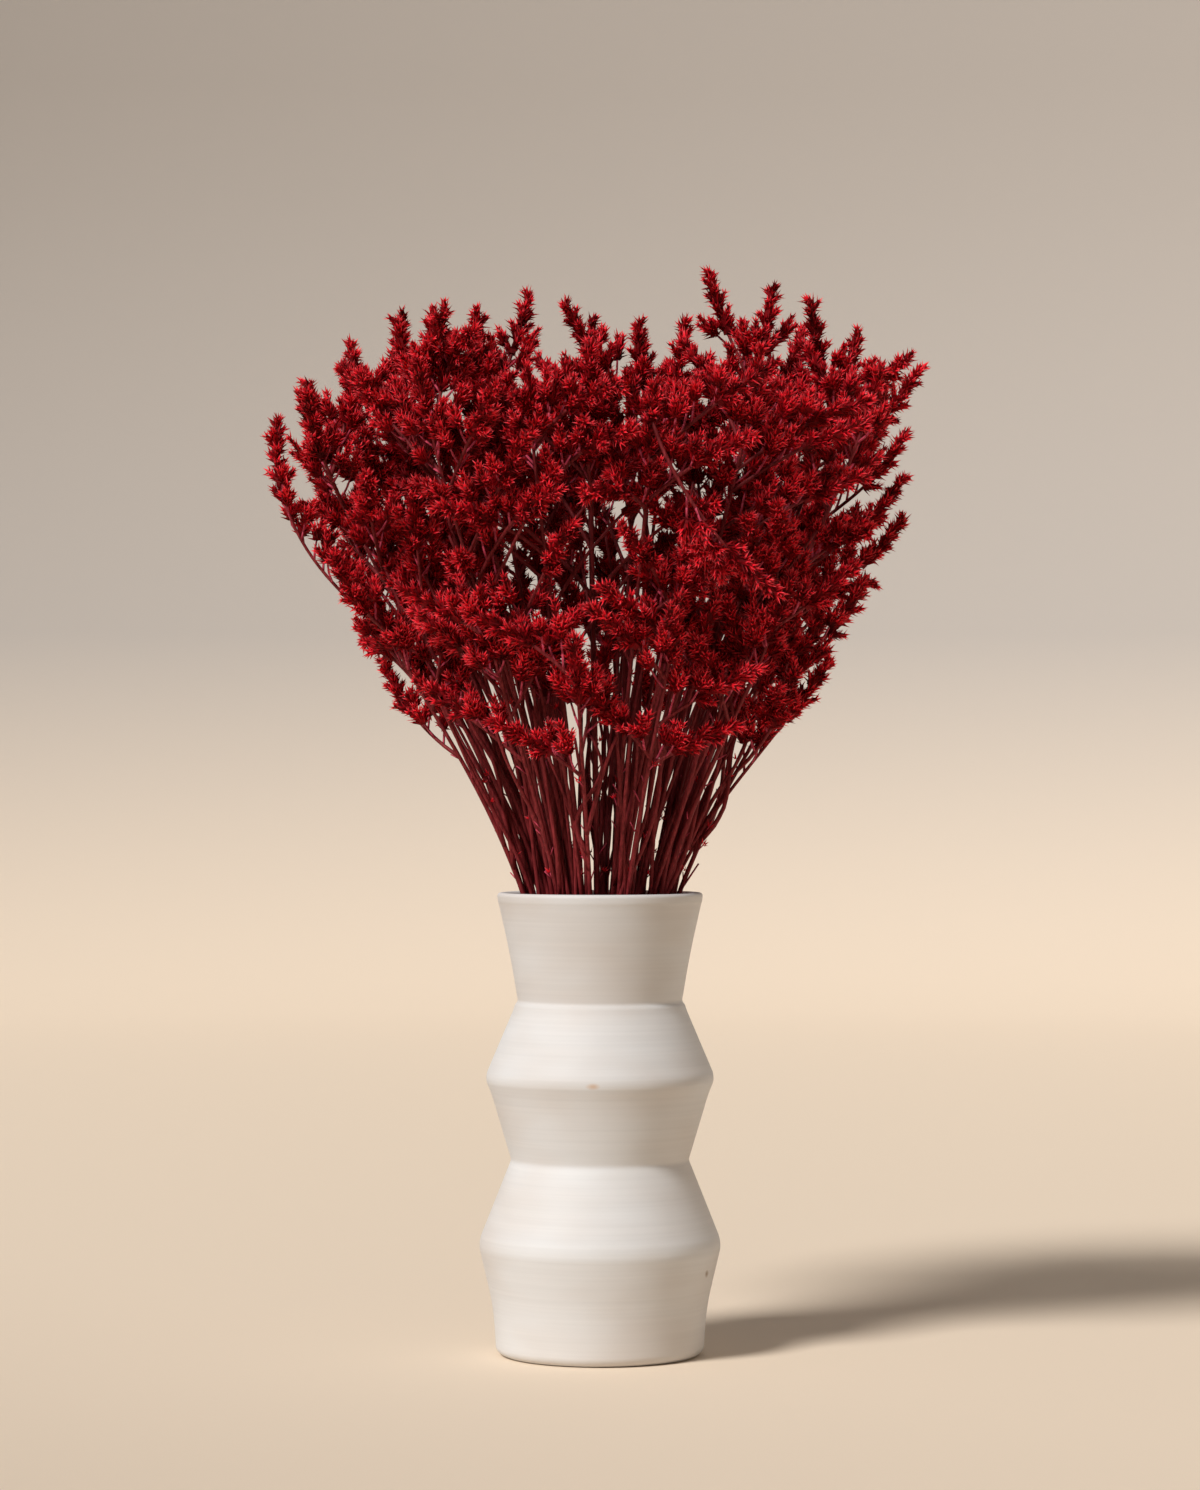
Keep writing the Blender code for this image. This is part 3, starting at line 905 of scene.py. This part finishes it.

# %% [markdown]
# ## Dyed wood and dyed bracts
# The bunch was soaked in dye. The wood took it dull, a matt plum brown with fine long streaks
# of bark. The bracts are thin and papery and took it bright: crimson, paler towards the tip, and
# every cluster a little different. The nearly black red at the roots of the thorns, in the cores
# and in the tufts deep in the bunch is painted shade, where the bracts hide each other from the
# light.

# %% Dyed wood
wood, tree, shader = new_material("dyed_dry_stem", 0.55)
place = add_node(tree, "ShaderNodeTexCoord").outputs["Object"]
STREAK = (1 / (1.2 * MM), 1 / (1.2 * MM), 1 / (22 * MM))
along_stem = add_node(tree, "ShaderNodeMapping", Vector=place, Scale=STREAK).outputs["Vector"]
bark = add_node(
    tree, "ShaderNodeTexNoise", Vector=along_stem, Scale=1.0, Detail=3.0, Roughness=0.6
).outputs["Fac"]
thick_colour = ramp(tree, bark, [(0.30, "#5A1719"), (0.52, "#7E262A"), (0.74, "#9A383B")])
thin_colour = ramp(tree, bark, [(0.30, "#A02C40"), (0.52, "#C4445A"), (0.74, "#D86076")])
thinness = add_node(
    tree, "ShaderNodeAttribute", {"attribute_name": "tip", "attribute_type": "GEOMETRY"}
).outputs["Fac"]
bark_colour = add_node(
    tree, "ShaderNodeMix", {"data_type": "RGBA"}, i0=thinness, i6=thick_colour, i7=thin_colour
).outputs[2]
tree.links.new(bark_colour, shader.inputs["Base Color"])
bark_relief = add_node(
    tree, "ShaderNodeBump", Strength=0.5, Distance=0.2 * MM, Height=bark
).outputs["Normal"]
tree.links.new(bark_relief, shader.inputs["Normal"])
shader.inputs["Specular IOR Level"].default_value = 0.15

# %% Dyed bracts
bract, tree, shader = new_material("dyed_papery_bract", 0.6)
near_tip = add_node(
    tree, "ShaderNodeAttribute", {"attribute_name": "tip", "attribute_type": "GEOMETRY"}
).outputs["Fac"]
# Near-black at the low end is painted shade for roots, cores and deep tufts; crimson to pale pink towards the
# tip is the bracts' own colour.
shade = ramp(tree, near_tip, [(0.0, "#140103"), (0.40, "#C40E1C"), (0.62, "#FC2032"), (1.0, "#FF7278")])
place = add_node(tree, "ShaderNodeTexCoord").outputs["Object"]
CLUSTER = 12 * MM
patch = add_node(
    tree, "ShaderNodeTexNoise", Vector=place, Scale=1 / CLUSTER, Detail=2.0, Roughness=0.6
).outputs["Fac"]
patch_colour = ramp(tree, patch, [(0.36, "#AEA8A8"), (0.48, "#F6F6F6"), (0.56, "#FFFFFF")])
dyed = add_node(
    tree, "ShaderNodeMix", {"data_type": "RGBA", "blend_type": "MULTIPLY"},
    i0=1.0, i6=shade, i7=patch_colour,
).outputs[2]
tree.links.new(dyed, shader.inputs["Base Color"])
shader.inputs["Specular IOR Level"].default_value = 0.1
print("materials", [m.name for m in bpy.data.materials])

# %% [markdown]
# ## The sprays
# Each spray is one piece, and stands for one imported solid: the stem, its spurs, and every
# branch with its comb. The stem itself carries side twigs too, from its first branch up.

# %% Sprays
BARE_SHARE = 0.4  # of a branch's bare length, before its first side twig
STEM_TWIGS_FROM = 0.72  # of the way from the rim to the tip
STEM_TWIG_STEP = 12 * MM
STEM_TWIG_LENGTH = 30 * MM
THICKNESS_VARIES = (0.95, 1.35)
INNER_BRANCHES = (1, 3)  # on a low and on a tall stem
INNER_TRIES = 30
INNER_PLACE = (0.45, 0.85)  # of the stem above the rim
INNER_BARE = (0.4, 0.9)  # of the bare length of an outer branch
INNER_SWING = math.radians(110)
INNER_RISE = (-0.3, 0.25)
SNAPPED_STEM = 23  # a bare broken twig of it stands over the rim
SNAPPED_TWIG = Vector((46, -7, 270)) * MM, Vector((58, -9, 288)) * MM
Arch = namedtuple("Arch", "stem handles bare up")
ARCH_POINTS = 14
ARCHES = [
    # in front, bent over, so that its comb hangs
    Arch(11, [(27, -124, 545), (34, -138, 512), (62, -134, 466), (100, -124, 440)], 0.42, -UP),
    # upright, in the gap behind the crown's middle
    Arch(1, [(18, 0, 500), (30, -10, 530), (46, -18, 560), (50, -20, 606)], 0.1, UP),
    # the bare outer edge on the left, with its comb on the inner side
    Arch(18, [(-98, -20, 405), (-150, -22, 440), (-196, -24, 478), (-188, -22, 548)], 0.3, Vector((1, 0, 1))),
    # low on the right
    Arch(23, [(52, -9, 296), (76, -12, 335), (104, -14, 362), (135, -16, 408)], 0.4, Vector((-0.4, 0, 1))),
]


def dress_stem(bm, stem, draw):
    """The stem's wood, its spurs below and its side twigs above."""
    path = stem_path(stem)
    length = length_of(path)
    rim_at = length_of(path[:POINTS_INSIDE])
    thick = STEM_RADIUS[0] * draw.uniform(*THICKNESS_VARIES)
    add_tube(bm, path, thick, TWIG_RADIUS, STEM_RING_STEP, STEM_SIDES)
    head = rim_at + (length - rim_at) * FIRST_BRANCH
    add_spurs(bm, path, rim_at + 8 * MM, head, thick, draw)
    for k in range(PLUMED_FORKS + BARE_FORKS):
        fork = low_fork(path, draw)
        if fork is None:
            continue
        add_tube(bm, fork, *FORK_RADIUS, BRANCH_RING_STEP, BRANCH_SIDES)
        if k < PLUMED_FORKS and stem.reach * MM > TALL:
            add_comb(bm, fork, length_of(fork) - END_LENGTH - 1.5 * TWIG_STEP, draw)
    distance = rim_at + (length - rim_at) * STEM_TWIGS_FROM
    angle = draw.uniform(0, math.tau)
    while distance < length - END_LENGTH:
        root, beyond = resampled(path, [distance, distance + MM])
        along = (beyond - root).normalized()
        side = Matrix.Rotation(angle, 3, along) @ upper_side(along, root)
        if not in_hollow(root):
            add_side_twig(bm, root, along, side, STEM_TWIG_LENGTH * draw.uniform(0.8, 1.2), draw)
        angle += GOLDEN_ANGLE
        distance += STEM_TWIG_STEP * draw.uniform(0.8, 1.2)


def inner_branches(stem, draw):
    """Branches that fill the middle of the bunch, where the solids leave room."""
    path = stem_path(stem)[POINTS_INSIDE - 1 :]
    tall = stem.reach * MM > TALL
    found = []
    for _ in range(INNER_TRIES):
        place = length_of(path) * draw.uniform(*INNER_PLACE)
        root, beyond = resampled(path, [place, place + MM])
        along = (beyond - root).normalized()
        away = polar(1, math.radians(stem.azimuth), 0)
        away = (away - along * away.dot(along)).normalized()
        outward = Matrix.Rotation(draw.uniform(-INNER_SWING, INNER_SWING), 3, along) @ away
        bare = BARE_LENGTH[tall] * draw.uniform(*INNER_BARE)
        shoot = branch(root, along, outward, bare, draw.uniform(*INNER_RISE))
        if in_bunch(shoot) and not any(in_hollow(p) for p in shoot.points[-len(CORE_RADII) :]):
            found.append(shoot)
        if len(found) == INNER_BRANCHES[tall]:
            break
    return found


def build_spray(number, stem, shoots, draw):
    """One whole stem of the bunch."""
    bm = bmesh.new()
    bm.verts.layers.float.new("tip")
    dress_stem(bm, stem, draw)
    crest, *branches = shoots[1:]
    add_comb(bm, crest.points, 0.0, draw)
    for shoot in branches + inner_branches(stem, draw):
        bare = length_of(shoot.points[: -len(CORE_RADII) + 1])
        add_tube(bm, shoot.points, BRANCH_RADIUS, TWIG_RADIUS, BRANCH_RING_STEP, BRANCH_SIDES)
        add_comb(bm, shoot.points, bare * BARE_SHARE, draw)
    if number == SNAPPED_STEM:
        add_length(bm, TWIG, *SNAPPED_TWIG, TWIG_RADIUS)
    for arch in ARCHES:
        if arch.stem == number:
            path = interpolate_bezier(*[Vector(place) * MM for place in arch.handles], ARCH_POINTS)
            add_tube(bm, path, BRANCH_RADIUS, TWIG_RADIUS, BRANCH_RING_STEP, BRANCH_SIDES)
            add_comb(bm, path, length_of(path) * arch.bare, draw, arch.up)
    spray = add_object(f"statice_{number:02d}", bm, wood, bract)
    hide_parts(f"spray_{number:02d}")
    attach(spray, "root")
    return spray


triangles = []
for number, (stem, shoots) in enumerate(zip(STEMS, sprays), start=1):
    spray = build_spray(number, stem, shoots, random.Random(SEED * 100 + number))
    spray.data.calc_loop_triangles()
    triangles.append(len(spray.data.loop_triangles))
print(sum(triangles), "triangles in the sprays, at most", max(triangles), "in one")
